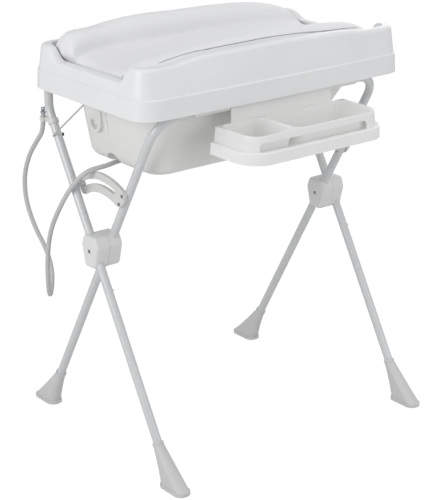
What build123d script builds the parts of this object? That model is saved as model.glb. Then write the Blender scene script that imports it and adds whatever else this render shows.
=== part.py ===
from build123d import *
import math
import os

# Folding baby bath stand with a flip-up changing top.
# X runs along the table, -Y is the front and the floor is Z = 0. The pieces
# are drawn with the crossing point of the legs over Y = 0 and written with
# the middle of the footprint there. All sizes in millimetres.

# Stand: two crossed pairs of steel tube legs
outer_leg_x = 400.0          # centre of each outer leg, which has its foot in front
inner_leg_x = 357.0          # centre of each inner leg, which has its foot behind
hub_z = 540.0                # height of the pivot where the legs cross
front_foot_reach = 312.0     # floor point of the outer leg's axis, in front of the pivot
rear_foot_reach = 305.0      # floor point of the inner leg's axis, behind the pivot
tube_d = 22.2
tube_wall = 1.2
post_bend_z = 866.0          # where an outer leg bends upright
post_top_z = 925.0
post_bend_r = 60.0
crossbar_z = 917.0
crossbar_bend_r = 75.0
leg_end_z = 32.0             # tube ends inside the feet
seam_drop = 144.0            # from the pivot down to the joint of the plugged-in lower leg
plug_length = 60.0
plug_clearance = 0.06
fit_clearance = 0.05         # radial, for pins and bolts that turn
seat_gap = 0.3               # between pieces that rest on each other
overrun = 2.0

# Pivot bolts and hub covers
bolt_d = 6.0
bolt_head_d = 10.0
bolt_head_h = 4.0
hub_half_w = 36.0
hub_top_half_w = 25.0
hub_foot_half_w = 22.0
hub_rise = 40.0
hub_shoulder = 14.0
hub_drop = 44.0
hub_corner_r = 12.0
hub_edge_r = 8.0
hub_cover = 18.4             # how far a cover reaches past its tube's centre, outwards
hub_gap = 0.6                # between the outer and the inner cover
hub_wall = 4.0
hub_boss_d = 18.0

# Lock plates: arc slots about the pivot that limit how far the stand closes
plate_outer_r = 195.0
plate_inner_r = 143.0
plate_slot_r = 170.0
plate_slot_w = 12.4
plate_t = 7.0
plate_rib_t = 2.0
plate_end_angle = 36.0       # from the vertical, towards the outer leg
plate_root_angle = 33.0      # from the vertical, towards the inner leg
slot_travel = 48.0
plate_end_fillet = 20.0
slot_pin_d = 12.0
slot_pin_head_h = 2.5
plate_screw_d = 4.0
plate_screw_head_d = 8.0
plate_screw_head_h = 2.0

# Feet
foot_w = 44.0
foot_l = 92.0
foot_shift = 10.0            # base centre beyond the leg's axis at the floor
foot_lip_h = 9.0
foot_lip = 2.5
foot_corner_r = 20.0
foot_waist_z = 52.0
foot_waist_w = 35.0
foot_waist_l = 56.0
foot_waist_shift = 9.0
foot_top_z = 98.0
foot_collar_d = 29.0
foot_collar_h = 7.0

# Spring buttons that lock the lower legs
button_d = 6.8
button_out = 5.0
button_rise = 34.0           # above the seam, along the leg
button_head_d = 9.0
button_head_h = 1.2

# Bathtub
tub_wall = 3.0
flange_t = 3.0
flange_half_x = 408.0
flange_front = 232.0
flange_rear = 202.0
flange_corner_r = 38.0
tub_half_x = 347.0
tub_half_y = 184.0
tub_corner_r = 72.0
tub_floor_z = 745.0          # underside of the tub's floor
tub_foot_left = -322.0       # left end of the floor, the steep end
tub_foot_right = 178.0       # right end of the floor, below the sloping back
tub_foot_half_y = 152.0
tub_foot_corner_r = 58.0
tub_belly_r = 30.0
hook_lip_half_x = 262.0
hook_lip_h = 20.0
hook_y = 68.0                # moulded J-shaped rib on the left end of the tub
hook_z = 846.0
hook_r = 21.0                # of the rib's bend, on its centreline
hook_rib = 7.0
hook_out = 6.0
hook_tip_h = 4.0
hook_top_z = 908.0
groove_y = 24.0              # tapered groove beside the rib
groove_r = 7.0
groove_end_r = 1.5
groove_end_z = 818.0
arch_y = 24.0                # arched recess that the hose leaves from
arch_half_w = 28.0
arch_h = 28.0                # above the underside of the tub
arch_depth = 76.0            # from the floor's edge inwards
drain_y = 15.0
drain_rise = 8.0             # of the spout above the underside of the tub
drain_hole_d = 12.0
drain_bore_d = 7.0
spout_l = 26.0
drain_flange_d = 22.0
drain_flange_h = 3.0
strainer_d = 22.0
strainer_h = 2.0
strainer_hole_d = 3.4
strainer_ring_r = 6.5

# Hose and its end fitting
hose_d = 12.0
clip_ring_wall = 3.0
clip_h = 12.0
clip_arm_w = 10.0
clip_drop = 8.0              # the hose stands out of its clip by this much
stopper_cap_d = 14.0
stopper_cap_h = 5.0
stopper_tab_w = 10.0
stopper_tab_t = 3.0
stopper_tab_h = 11.0
hose_bends = [
    (-312, 15, 753),
    (-352, 14, 747),
    (-397, 34, 738),
    (-421, 68, 693),
    (-434, 104, 632),
    (-441, 141, 562),
    (-443, 157, 484),
    (-442, 160, 411),
    (-424, 183, 363),
    (-388, 228, 360),
    (-366, 256, 402),
    (-372, 274, 460),
    (-387, 303, 516),
    (-396, 326, 584),
    (-401, 322, 654),
    (-403, 290, 720),
    (-405, 246, 768),
    (-405, 210, 806),
    (-405, 210, 850),
]

# Changing top: a thin moulded tray, open below
tray_half_x = 424.0
tray_half_y = 243.0
tray_bow = 6.0
tray_corner_r = 60.0
tray_bottom_z = 920.0
tray_belt_z = 971.0
tray_top_z = 1060.0          # the walls are drawn up to here and cut down to their tops
tray_band_draft = 3.0        # inward lean of the lower band
tray_step = 3.5              # the upper wall stands in by this much at the belt
tray_wall_draft = 11.5       # inward lean of the upper wall
tray_edge_r = 10.5
tray_wall = 3.0
tray_floor_z = 962.0         # underside of the tray's floor
tray_rim_w = 13.0            # width of the top of the wall, front and rear
tray_end_rim_w = 14.0
tray_well_draft = 8.0
dip_z = 997.0                # top of the end walls in the middle
dip_half_y = 122.0
dip_slope_y = 60.0
corner_zone_x = 334.0        # the tops of the long walls are level beyond this
front_top = [(-334, 1041), (-270, 1049), (-155, 1053.5), (0, 1055), (133, 1052.5), (235, 1048), (334, 1040)]
rear_top = [(-334, 1030), (0, 1031), (334, 1018)]
rest_rib_t = 4.0
rest_rib_l = 30.0
rest_rib_x = 250.0

# Hinge of the changing top, at the rear of the tub's flange
hinge_y = 225.0
hinge_z = 938.0
hinge_x = 250.0
hinge_pin_d = 6.0
hinge_pin_head_d = 10.0
hinge_pin_head_h = 2.0
knuckle_w = 10.0
knuckle_r = 8.0
lug_w = 8.0
lug_r = 9.0
lug_gap = 0.5
lug_embed = 1.0              # past the straight sides, into the bowed rear wall
bracket_plate_t = 3.0
bracket_half_w = 24.0
bracket_front_y = 186.0
bracket_screw_d = 7.0
bracket_screw_h = 2.0

# Wire stay that props the left end of the tub
stay_d = 4.0
stay_x = -415.5
stay_pivot_z = 804.0
stay_tip_y = 0.0
stay_tip_x = -385.0
stay_top_x = -409.0          # the wire leans in on its way up, clear of the tray's skirt
stay_bend_r = 4.0
stay_inner_x = -386.0
stay_nut_d = 9.0
stay_nut_h = 6.0

# Contoured changing pad
pad_gap = 0.4
pad_crest_share = 0.84
pad_valley_share = 0.55
pad_side_gap = 1.2
pad_stations = (-1.0, -0.96, -0.86, -0.4, 0.0, 0.4, 0.68, 0.86, 0.96, 1.0)
pad_crest_zs = (1034.0, 1047.0, 1053.0, 1070.0, 1072.0, 1066.0, 1055.0, 1038.0, 1014.0, 990.0)
pad_valley_zs = (984.0, 992.0, 997.0, 1001.0, 1002.0, 1001.0, 999.0, 995.0, 988.0, 980.0)
pad_hem_zs = (1016.0, 1026.0, 1030.0, 1040.0, 1042.0, 1040.0, 1030.0, 1012.0, 992.0, 978.0)
pad_end_draw = 27.0          # how far the pad's sides draw in at its ends

# Hanging shelf with two bins and a towel rail
shelf_x = 6.0
shelf_half_x = 208.0
shelf_back_y = 234.0
shelf_front_y = 378.0
shelf_top_z = 877.0
shelf_bottom_z = 810.0
shelf_rail_z = 840.0         # top of the rail that runs round the foot of the skirt
shelf_flare = 16.0           # the rail's foot stands out from the shelf's top by this much
shelf_skirt_flare = 7.0
shelf_rail_flare = 14.0
shelf_rail_r = 4.0
shelf_corner_r = 48.0
shelf_wall = 2.6
shelf_rim_w = 7.0
bin_depth = 58.0
bin_draft = 8.0
bin_corner_r = 20.0
divider_x = -62.0
divider_t = 7.0
rail_gap = 17.0              # the bins stand back by this much at their floor
rail_slot_x = -10.0
rail_slot_high = 861.0
rail_slot_half_x = 170.0
rail_slot_r = 12.0
rail_slot_depth = 8.6        # from the shelf's front inwards, just short of the bins
panel_x = 9.0
panel_half_x = 162.0
panel_t = 3.0
panel_top_z = 934.8
panel_hook_l = 16.0

front_extent = shelf_front_y + shelf_flare
rear_extent = rear_foot_reach + foot_shift + foot_l / 2
stand_y = (front_extent - rear_extent) / 2

os.makedirs("parts", exist_ok=True)
node_names = []


def save(shape, name):
    """Write one sub-part, in its place, as a STEP file."""
    export_step(Pos(0, stand_y, 0) * shape, "parts/" + name + ".step")
    node_names.append(name)
    print(name, round(shape.volume / 1000, 1), "cm3")


def group(*shapes):
    """Several separate solids in one node."""
    return Compound(children=list(shapes))


def cylinder_x(x_low, x_high, y, z, d):
    """A round bar along X."""
    length = x_high - x_low
    middle = (x_low + x_high) / 2
    return Pos(middle, y, z) * Rot(0, 90, 0) * Cylinder(d / 2, length)


def box_between(x_low, x_high, y_low, y_high, z_low, z_high):
    """A box given by its six faces."""
    size = (x_high - x_low, y_high - y_low, z_high - z_low)
    middle = ((x_low + x_high) / 2, (y_low + y_high) / 2, (z_low + z_high) / 2)
    return Pos(*middle) * Box(*size)


# Leg axes: each leans in the YZ plane through the pivot
outer_lean = math.atan2(front_foot_reach, hub_z)
inner_lean = math.atan2(rear_foot_reach, hub_z)


def outer_leg_point(side, rise):
    """A point of an outer leg's axis, at a height above the pivot."""
    return Vector(side * outer_leg_x, rise * math.tan(outer_lean), hub_z + rise)


def inner_leg_point(side, rise):
    """A point of an inner leg's axis, at a height above the pivot."""
    return Vector(side * inner_leg_x, -rise * math.tan(inner_lean), hub_z + rise)


def tube_along(path, outer_d, inner_d):
    """A round tube swept along a wire."""
    start = path @ 0
    plane = Plane(origin=start, z_dir=path % 0)
    skin = sweep(plane * Circle(outer_d / 2), path=path)
    core = sweep(plane * Circle(inner_d / 2), path=path)
    return skin - core


def straight_bar(start, end, d):
    """A solid round bar from point to point."""
    run = end - start
    plane = Plane(origin=start, z_dir=run)
    return extrude(plane * Circle(d / 2), amount=run.length)


tube_inner_d = tube_d - 2 * tube_wall
swaged_d = tube_inner_d - 2 * plug_clearance
seam_rise = -seam_drop * math.cos(outer_lean)
button_rise_z = seam_rise + button_rise * math.cos(outer_lean)
post_y = (post_bend_z - hub_z) * math.tan(outer_lean)
crossbar_y = -(crossbar_z - hub_z) * math.tan(inner_lean)
stay_pivot_y = (stay_pivot_z - hub_z) * math.tan(outer_lean)
pin_bore = 2 * fit_clearance
slot_pin_y = plate_slot_r * math.sin(outer_lean)
slot_pin_z = hub_z + plate_slot_r * math.cos(outer_lean)


def leg_holes(side):
    """Cross holes of an outer leg: pivot bolt, slot pin and spring button."""
    low = side * outer_leg_x - tube_d
    high = side * outer_leg_x + tube_d
    pivot = cylinder_x(low, high, 0, hub_z, bolt_d + pin_bore)
    stop = cylinder_x(low, high, slot_pin_y, slot_pin_z, plate_screw_d + pin_bore)
    button = outer_leg_point(side, button_rise_z)
    lock = cylinder_x(button.X, button.X + tube_d, button.Y, button.Z, button_d + pin_bore)
    return pivot + stop + lock


def rear_post(side):
    """Upper outer tube: leans up to the rear and bends upright under the tub."""
    start = outer_leg_point(side, seam_rise)
    bend = outer_leg_point(side, post_bend_z - hub_z)
    top = Vector(bend.X, bend.Y, post_top_z)
    path = FilletPolyline(start, bend, top, radius=post_bend_r)
    tube = tube_along(path, tube_d, tube_inner_d) - leg_holes(side)
    if side < 0:
        hole = cylinder_x(
            side * outer_leg_x - tube_d, side * outer_leg_x + tube_d,
            stay_pivot_y, stay_pivot_z, stay_d + pin_bore,
        )
        tube = tube - hole
    return tube


def front_leg(side):
    """Lower outer tube, with a reduced end that plugs into the rear post."""
    foot = outer_leg_point(side, leg_end_z - hub_z)
    seam = outer_leg_point(side, seam_rise)
    end = outer_leg_point(side, seam_rise + plug_length * math.cos(outer_lean))
    body = straight_bar(foot, seam, tube_d) + straight_bar(foot, end, swaged_d)
    bore = straight_bar(foot, end, swaged_d - 2 * tube_wall)
    return body - bore - leg_holes(side)


def front_frame_tube():
    """Inner legs and front crossbar, bent from one tube."""
    low_left = inner_leg_point(-1, leg_end_z - hub_z)
    low_right = inner_leg_point(1, leg_end_z - hub_z)
    corner_left = inner_leg_point(-1, crossbar_z - hub_z)
    corner_right = inner_leg_point(1, crossbar_z - hub_z)
    path = FilletPolyline(low_left, corner_left, corner_right, low_right, radius=crossbar_bend_r)
    tube = tube_along(path, tube_d, tube_inner_d)
    for side in (-1, 1):
        low = side * inner_leg_x - tube_d
        high = side * inner_leg_x + tube_d
        tube = tube - cylinder_x(low, high, 0, hub_z, bolt_d + pin_bore)
        for screw in plate_screw_places(side):
            tube = tube - cylinder_x(low, high, screw.Y, screw.Z, plate_screw_d + pin_bore)
    return tube


def post_cap(side):
    """Plug with a flat head that closes a post and carries the tub's flange."""
    base = Vector(side * outer_leg_x, post_y, post_top_z)
    head_h = crossbar_z + tube_d / 2 - post_top_z
    head = Pos(base.X, base.Y, base.Z + head_h / 2) * Cylinder(tube_d / 2 + 0.4 * plate_rib_t, head_h)
    stem_h = tube_d * 0.7
    stem = Pos(base.X, base.Y, base.Z - stem_h / 2) * Cylinder(swaged_d / 2, stem_h)
    return head + stem


def foot(side, reach, leg_x, front):
    """Flared boot: round collar on the tube, long oval base, grooved lip."""
    out = -1 if front else 1
    lean = math.atan2(reach, hub_z)
    base_y = out * (reach + foot_shift)
    x = side * leg_x
    waist_y = out * (reach - foot_waist_z * math.tan(lean) + foot_waist_shift)
    top = Vector(x, out * (reach - foot_top_z * math.tan(lean)), foot_top_z)
    axis = Vector(0, -out * math.sin(lean), math.cos(lean))
    lip = extrude(Pos(x, base_y) * RectangleRounded(foot_w, foot_l, foot_corner_r), amount=foot_lip_h)
    inner_w = foot_w - 2 * foot_lip
    inner_l = foot_l - 2 * foot_lip
    low = Pos(x, base_y, foot_lip_h) * RectangleRounded(inner_w, inner_l, foot_corner_r - foot_lip)
    waist = Pos(x, waist_y, foot_waist_z) * RectangleRounded(foot_waist_w, foot_waist_l, foot_waist_w * 0.48)
    collar_plane = Plane(origin=top, x_dir=(1, 0, 0), z_dir=axis)
    collar_w = foot_collar_d - foot_lip
    high = collar_plane * RectangleRounded(collar_w, collar_w, collar_w * 0.48)
    body = loft([low, waist, high])
    collar = extrude(collar_plane * Circle(foot_collar_d / 2), amount=foot_collar_h)
    bore_start = Vector(x, out * (reach - leg_end_z * math.tan(lean)), leg_end_z)
    bore = straight_bar(bore_start, top + axis * (foot_collar_h + overrun), tube_d + pin_bore)
    return lip + body + collar - bore


def hub_outline():
    """Shield-shaped outline of a hub cover, in the YZ plane at the pivot."""
    points = [
        (-hub_foot_half_w, -hub_drop),
        (hub_foot_half_w, -hub_drop),
        (hub_half_w, hub_shoulder),
        (hub_top_half_w, hub_rise),
        (-hub_top_half_w, hub_rise),
        (-hub_half_w, hub_shoulder),
    ]
    face = make_face(Polyline(*points, close=True))
    return fillet(face.vertices(), hub_corner_r)


def hub_cover_shell(side, outer):
    """One moulded half of a hub, slipped over one leg."""
    middle = (outer_leg_x + inner_leg_x) / 2
    if outer:
        near = middle + hub_gap / 2
        far = outer_leg_x + hub_cover
    else:
        near = middle - hub_gap / 2
        far = inner_leg_x - hub_cover
    away = side if outer else -side
    depth = abs(far - near)
    plane = Plane(origin=(side * near, 0, hub_z), x_dir=(0, 1, 0), z_dir=(1, 0, 0))
    body = extrude(plane * hub_outline(), amount=away * depth)
    far_face = body.faces().sort_by(Axis.X)[-1 if away > 0 else 0]
    body = fillet(far_face.edges(), hub_edge_r)
    pocket = extrude(plane * offset(hub_outline(), -hub_wall), amount=away * (depth - hub_wall))
    leg_x = outer_leg_x if outer else inner_leg_x
    boss_low = min(side * leg_x, side * far - away)
    boss_high = max(side * leg_x, side * far - away)
    boss = cylinder_x(boss_low, boss_high, 0, hub_z, hub_boss_d)
    point = outer_leg_point if outer else inner_leg_point
    span = hub_drop + hub_rise
    bore = straight_bar(point(side, -span), point(side, span), tube_d + pin_bore)
    low = min(side * near, side * far)
    high = max(side * near, side * far)
    bolt_hole = cylinder_x(low - overrun, high + overrun, 0, hub_z, bolt_d + pin_bore)
    sink_start = side * far if away < 0 else side * far - bolt_head_h
    sink = cylinder_x(sink_start, sink_start + bolt_head_h, 0, hub_z, bolt_head_d + 2 * seat_gap)
    return body - pocket + boss - bore - bolt_hole - sink


def pivot_bolt(side):
    """Bolt through both legs and both covers, with a head and a nut in recesses."""
    far = outer_leg_x + hub_cover - bolt_head_h
    near = inner_leg_x - hub_cover + bolt_head_h
    low = min(side * near, side * far)
    high = max(side * near, side * far)
    shank = cylinder_x(low, high, 0, hub_z, bolt_d)
    head_low = cylinder_x(low - bolt_head_h + hub_gap, low, 0, hub_z, bolt_head_d)
    head_high = cylinder_x(high, high + bolt_head_h - hub_gap, 0, hub_z, bolt_head_d)
    return shank + head_low + head_high


def arc_point(radius, angle):
    """A point of a lock plate, at an angle from the vertical, towards the rear."""
    turn = math.radians(angle)
    return (radius * math.sin(turn), radius * math.cos(turn))


def sector(inner_r, outer_r, low_angle, high_angle):
    """A flat ring sector about the pivot."""
    middle = (low_angle + high_angle) / 2
    outer_arc = ThreePointArc(
        arc_point(outer_r, low_angle), arc_point(outer_r, middle), arc_point(outer_r, high_angle)
    )
    inner_arc = ThreePointArc(
        arc_point(inner_r, high_angle), arc_point(inner_r, middle), arc_point(inner_r, low_angle)
    )
    return make_face([outer_arc, Line(outer_arc @ 1, inner_arc @ 0), inner_arc, Line(inner_arc @ 1, outer_arc @ 0)])


def plate_screw_places(side):
    """Two screws that hold a lock plate to its inner leg."""
    ring_inset = (plate_outer_r - plate_slot_r) / 2
    rises = (plate_inner_r + ring_inset, plate_outer_r - ring_inset)
    return [inner_leg_point(side, r * math.cos(inner_lean)) for r in rises]


plate_face_x = inner_leg_x + tube_d / 2 + seat_gap
outer_lean_deg = math.degrees(outer_lean)


def lock_plate(side):
    """Arc-slotted plate: fixed to the inner leg, guided by the outer leg's pin."""
    plane = Plane(origin=(side * plate_face_x, 0, hub_z), x_dir=(0, 1, 0), z_dir=(1, 0, 0))
    face = sector(plate_inner_r, plate_outer_r, -plate_root_angle, plate_end_angle)
    face = fillet(face.vertices(), plate_end_fillet)
    slot_end = outer_lean_deg
    slot_start = outer_lean_deg - slot_travel
    half = plate_slot_w / 2
    slot = sector(plate_slot_r - half, plate_slot_r + half, slot_start, slot_end)
    for angle in (slot_start, slot_end):
        slot = slot + Pos(*arc_point(plate_slot_r, angle)) * Circle(half)
    body = extrude(plane * face, amount=side * plate_t)
    pad_face = sector(plate_inner_r, plate_outer_r, -plate_root_angle, 0)
    pad_face = fillet(pad_face.vertices().sort_by(Axis.X)[:2], plate_end_fillet)
    rib = extrude(plane * pad_face, amount=side * (plate_t + plate_rib_t))
    body = body + rib - extrude(plane * slot, amount=side * (plate_t + overrun + plate_rib_t))
    low = min(side * plate_face_x, side * (plate_face_x + 2 * plate_t))
    high = max(side * plate_face_x, side * (plate_face_x + 2 * plate_t))
    for screw in plate_screw_places(side):
        body = body - cylinder_x(low, high, screw.Y, screw.Z, plate_screw_d + pin_bore)
    return body


def plate_screw(side, place):
    """Screw through the lock plate into the inner leg."""
    head_face = side * (plate_face_x + plate_t + plate_rib_t)
    tip = side * (inner_leg_x - tube_d / 2 - plate_screw_head_h)
    shank = cylinder_x(min(head_face, tip), max(head_face, tip), place.Y, place.Z, plate_screw_d)
    head_end = head_face + side * plate_screw_head_h
    low = min(head_face, head_end)
    head = cylinder_x(low, low + plate_screw_head_h, place.Y, place.Z, plate_screw_head_d)
    return shank + head


def slot_pin(side):
    """Pin on the outer leg that runs in the lock plate's slot."""
    leg_face = side * (outer_leg_x - tube_d / 2)
    end = side * (plate_face_x - seat_gap / 2)
    sleeve = cylinder_x(min(leg_face, end), max(leg_face, end), slot_pin_y, slot_pin_z, slot_pin_d)
    outside = side * (outer_leg_x + tube_d / 2)
    screw = cylinder_x(min(leg_face, outside), max(leg_face, outside), slot_pin_y, slot_pin_z, plate_screw_d)
    head_end = outside + side * slot_pin_head_h
    low = min(outside, head_end)
    head = cylinder_x(low, low + slot_pin_head_h, slot_pin_y, slot_pin_z, plate_screw_head_d)
    return sleeve + screw + head


def spring_button(side):
    """Button of a leg lock, with the flange that keeps it in the tube."""
    centre = outer_leg_point(side, button_rise_z)
    bore_r = swaged_d / 2 - tube_wall
    reach = math.sqrt(bore_r ** 2 - (button_head_d / 2) ** 2)
    flange_x = centre.X + reach - button_head_h - fit_clearance
    tip_x = centre.X + tube_d / 2 + button_out
    stem = cylinder_x(flange_x, tip_x, centre.Y, centre.Z, button_d)
    stem = fillet(stem.edges().sort_by(Axis.X)[-1], button_d / 4)
    flange = cylinder_x(flange_x, flange_x + button_head_h, centre.Y, centre.Z, button_head_d)
    return stem + flange


def rounded_block(x_low, x_high, half_y, corner_r, z):
    """Rounded rectangle at a height, from its ends and half width."""
    return Pos((x_low + x_high) / 2, 0, z) * RectangleRounded(x_high - x_low, 2 * half_y, corner_r)


def basin(inset):
    """Body of the tub: a steep left end, a sloping right end and a round belly."""
    top_z = flange_z + flange_t
    floor_z = tub_floor_z + inset
    top = rounded_block(-tub_half_x + inset, tub_half_x - inset, tub_half_y - inset, tub_corner_r - inset, top_z)
    low = rounded_block(
        tub_foot_left + inset, tub_foot_right - inset, tub_foot_half_y - inset, tub_foot_corner_r - inset, floor_z
    )
    body = loft([low, top], ruled=True)
    bottom = body.faces().sort_by(Axis.Z)[0]
    return fillet(bottom.edges(), tub_belly_r - inset)


flange_z = crossbar_z + tube_d / 2 + seat_gap


def end_wall_x(z):
    """Outside of the tub's steep end wall at a height."""
    slant = (tub_foot_left + tub_half_x) / (flange_z + flange_t - tub_floor_z)
    return -tub_half_x + slant * (flange_z + flange_t - z)


def moulded_hook():
    """J-shaped rib on the steep end of the tub, which takes the hose's hook."""
    wall_x = end_wall_x(hook_z - hook_r - hook_rib)
    plane = Plane(origin=(wall_x, hook_y, hook_z), x_dir=(0, -1, 0), z_dir=(-1, 0, 0))
    centreline = [
        Line((-hook_r, hook_tip_h), (-hook_r, 0)),
        ThreePointArc((-hook_r, 0), (0, -hook_r), (hook_r, 0)),
        Line((hook_r, 0), (hook_r, hook_top_z - hook_z)),
    ]
    face = trace(centreline, line_width=hook_rib)
    return extrude(plane * face, amount=hook_out + hook_rib, both=True) - box_between(
        wall_x + hook_rib, wall_x + 2 * hook_out + 2 * hook_rib, hook_y - 2 * hook_r, hook_y + 2 * hook_r,
        hook_z - 2 * hook_r, hook_top_z + hook_rib,
    )


def wall_groove(grow):
    """Tapered round groove down the steep end of the tub, or the same grown by the wall."""
    top = Plane(origin=(end_wall_x(flange_z), groove_y, flange_z), z_dir=(0, 0, 1))
    low = Plane(origin=(end_wall_x(groove_end_z), groove_y, groove_end_z), z_dir=(0, 0, 1))
    return loft([low * Circle(groove_end_r + grow), top * Circle(groove_r + grow)], ruled=True)


arch_end_x = tub_foot_left + arch_depth


def arch_recess(grow):
    """Arched recess in the foot of the steep end, or the same grown by the wall."""
    half = arch_half_w + grow
    spring_z = tub_floor_z + arch_h - arch_half_w
    top = Circle(half) + Pos(0, -half) * Rectangle(2 * half, 2 * half)
    plane = Plane(origin=(arch_end_x + grow, arch_y, spring_z), x_dir=(0, -1, 0), z_dir=(-1, 0, 0))
    return extrude(plane * top, amount=2 * arch_depth)


def tub_rim():
    """Wide flange of the tub, which rests on the crossbar and the posts, with its front lip."""
    middle_y = (flange_rear - flange_front) / 2
    width_y = flange_front + flange_rear
    sheet = Pos(0, middle_y, flange_z) * RectangleRounded(2 * flange_half_x, width_y, flange_corner_r)
    flange = extrude(sheet, amount=flange_t)
    lip = box_between(
        -hook_lip_half_x, hook_lip_half_x, -flange_front, -flange_front + flange_t,
        flange_z - hook_lip_h, flange_z,
    )
    return flange + lip - basin(tub_wall)


def bathtub():
    """Bowl of the one-piece tub, up to the underside of its rim."""
    outer = basin(0) + moulded_hook() - wall_groove(0) - arch_recess(0)
    cavity = basin(tub_wall) - wall_groove(tub_wall) - arch_recess(tub_wall)
    drain = cylinder_x(arch_end_x - tub_wall, arch_end_x + 2 * tub_wall, drain_y, spout_z, drain_hole_d)
    above = box_between(
        -flange_half_x, flange_half_x, -flange_front, flange_rear, flange_z, flange_z + 2 * flange_t,
    )
    return outer - cavity - drain - above


spout_z = tub_floor_z + drain_rise
spout_end_x = arch_end_x - drain_flange_h - spout_l


def drain_spout():
    """Waste fitting through the end wall of the recess, with a spout for the hose."""
    flange_low = arch_end_x - drain_flange_h
    flange = cylinder_x(flange_low, arch_end_x, drain_y, spout_z, drain_flange_d)
    flange = fillet(flange.edges().sort_by(Axis.X)[0], drain_flange_h / 2)
    neck = cylinder_x(arch_end_x, arch_end_x + tub_wall, drain_y, spout_z, drain_hole_d - pin_bore)
    spout = cylinder_x(spout_end_x, flange_low, drain_y, spout_z, hose_d)
    bore = cylinder_x(spout_end_x, arch_end_x + tub_wall, drain_y, spout_z, drain_bore_d)
    return flange + neck + spout - bore


def drain_strainer():
    """Round strainer over the drain's mouth, pierced by a ring of holes."""
    x = arch_end_x + tub_wall
    z = tub_floor_z + tub_wall + strainer_d / 2 + seat_gap
    disc = cylinder_x(x, x + strainer_h, drain_y, z, strainer_d)
    disc = fillet(disc.edges().sort_by(Axis.X)[-1], strainer_h * 0.6)
    for step in range(6):
        turn = math.radians(60 * step)
        hole_y = drain_y + strainer_ring_r * math.sin(turn)
        hole_z = z - strainer_ring_r * math.cos(turn)
        disc = disc - cylinder_x(x - overrun, x + 2 * strainer_h, hole_y, hole_z, strainer_hole_d)
    return disc


hose_route = [(spout_end_x, drain_y, spout_z)] + hose_bends


def hose_path():
    """Straight runs of the hose, joined by arcs as large as the runs allow."""
    points = [Vector(*p) for p in hose_route]
    radii = []
    for before, here, after in zip(points, points[1:], points[2:]):
        run_in = here - before
        run_out = after - here
        turn = math.radians(run_in.get_angle(run_out))
        radii.append(0.45 * min(run_in.length, run_out.length) / math.tan(turn / 2))
    print("hose radii", [round(r) for r in radii])
    return FilletPolyline(*points, radius=radii)


def drain_hose():
    """Free hose from the spout down and up again to its clip."""
    path = hose_path()
    tube = sweep(Plane(origin=path @ 0, z_dir=path % 0) * Circle(hose_d / 2), path=path)
    section = math.pi * (hose_d / 2) ** 2
    print("hose length", round(path.length, 1), "volume ratio", round(tube.volume / (section * path.length), 4))
    return tube


hose_end = Vector(*hose_route[-1])
clip_z = hose_end.Z - clip_drop - clip_h / 2


def hose_clip():
    """Clip round the left post that holds up the end of the hose."""
    rise = clip_z - hub_z
    centre = outer_leg_point(-1, rise)
    axis = Vector(0, math.sin(outer_lean), math.cos(outer_lean))
    plane = Plane(origin=centre - axis * (clip_h / 2), z_dir=axis)
    ring = extrude(plane * Circle(tube_d / 2 + clip_ring_wall), amount=clip_h)
    socket = Pos(hose_end.X, hose_end.Y, clip_z) * Cylinder(hose_d / 2 + clip_ring_wall, clip_h)
    arm = box_between(
        centre.X - clip_arm_w / 2, centre.X + clip_arm_w / 2, centre.Y + tube_d / 2,
        hose_end.Y - hose_d / 2, clip_z - clip_h / 2, clip_z + clip_h / 2,
    )
    leg = straight_bar(centre - axis * clip_h * 2, centre + axis * clip_h * 2, tube_d + pin_bore)
    hose = Pos(hose_end.X, hose_end.Y, clip_z) * Cylinder(hose_d / 2 + seat_gap, 2 * clip_h)
    mouth = box_between(
        hose_end.X - hose_d * 0.42, hose_end.X + hose_d * 0.42, hose_end.Y, hose_end.Y + hose_d,
        clip_z - clip_h, clip_z + clip_h,
    )
    return ring + socket + arm - leg - hose - mouth


def hose_stopper():
    """Stopper on the end of the hose, with a pull tab."""
    cap = Pos(hose_end.X, hose_end.Y, hose_end.Z + stopper_cap_h / 2) * Cylinder(stopper_cap_d / 2, stopper_cap_h)
    cap = fillet(cap.edges().sort_by(Axis.Z)[-1], stopper_cap_h / 4)
    tab_z = hose_end.Z + stopper_cap_h
    tab = box_between(
        hose_end.X - stopper_tab_w / 2, hose_end.X + stopper_tab_w / 2,
        hose_end.Y - stopper_tab_t / 2, hose_end.Y + stopper_tab_t / 2,
        tab_z - stopper_tab_t / 2, tab_z + stopper_tab_h,
    )
    hole = Pos(hose_end.X, hose_end.Y, tab_z + stopper_tab_h * 0.62) * Rot(90, 0, 0)
    return cap + tab - hole * Cylinder(stopper_tab_w * 0.24, 2 * stopper_tab_t)


def tray_outline(inset, z):
    """Plan of the tray: straight ends, slightly bowed long sides, round corners."""
    half_x = tray_half_x - inset
    half_y = tray_half_y - inset
    front = ThreePointArc((-half_x, -half_y, z), (0, -half_y - tray_bow, z), (half_x, -half_y, z))
    rear = ThreePointArc((half_x, half_y, z), (0, half_y + tray_bow, z), (-half_x, half_y, z))
    right = Line(front @ 1, rear @ 0)
    left = Line(rear @ 1, front @ 0)
    face = make_face([front, right, rear, left])
    return fillet(face.vertices(), tray_corner_r - inset)


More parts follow.
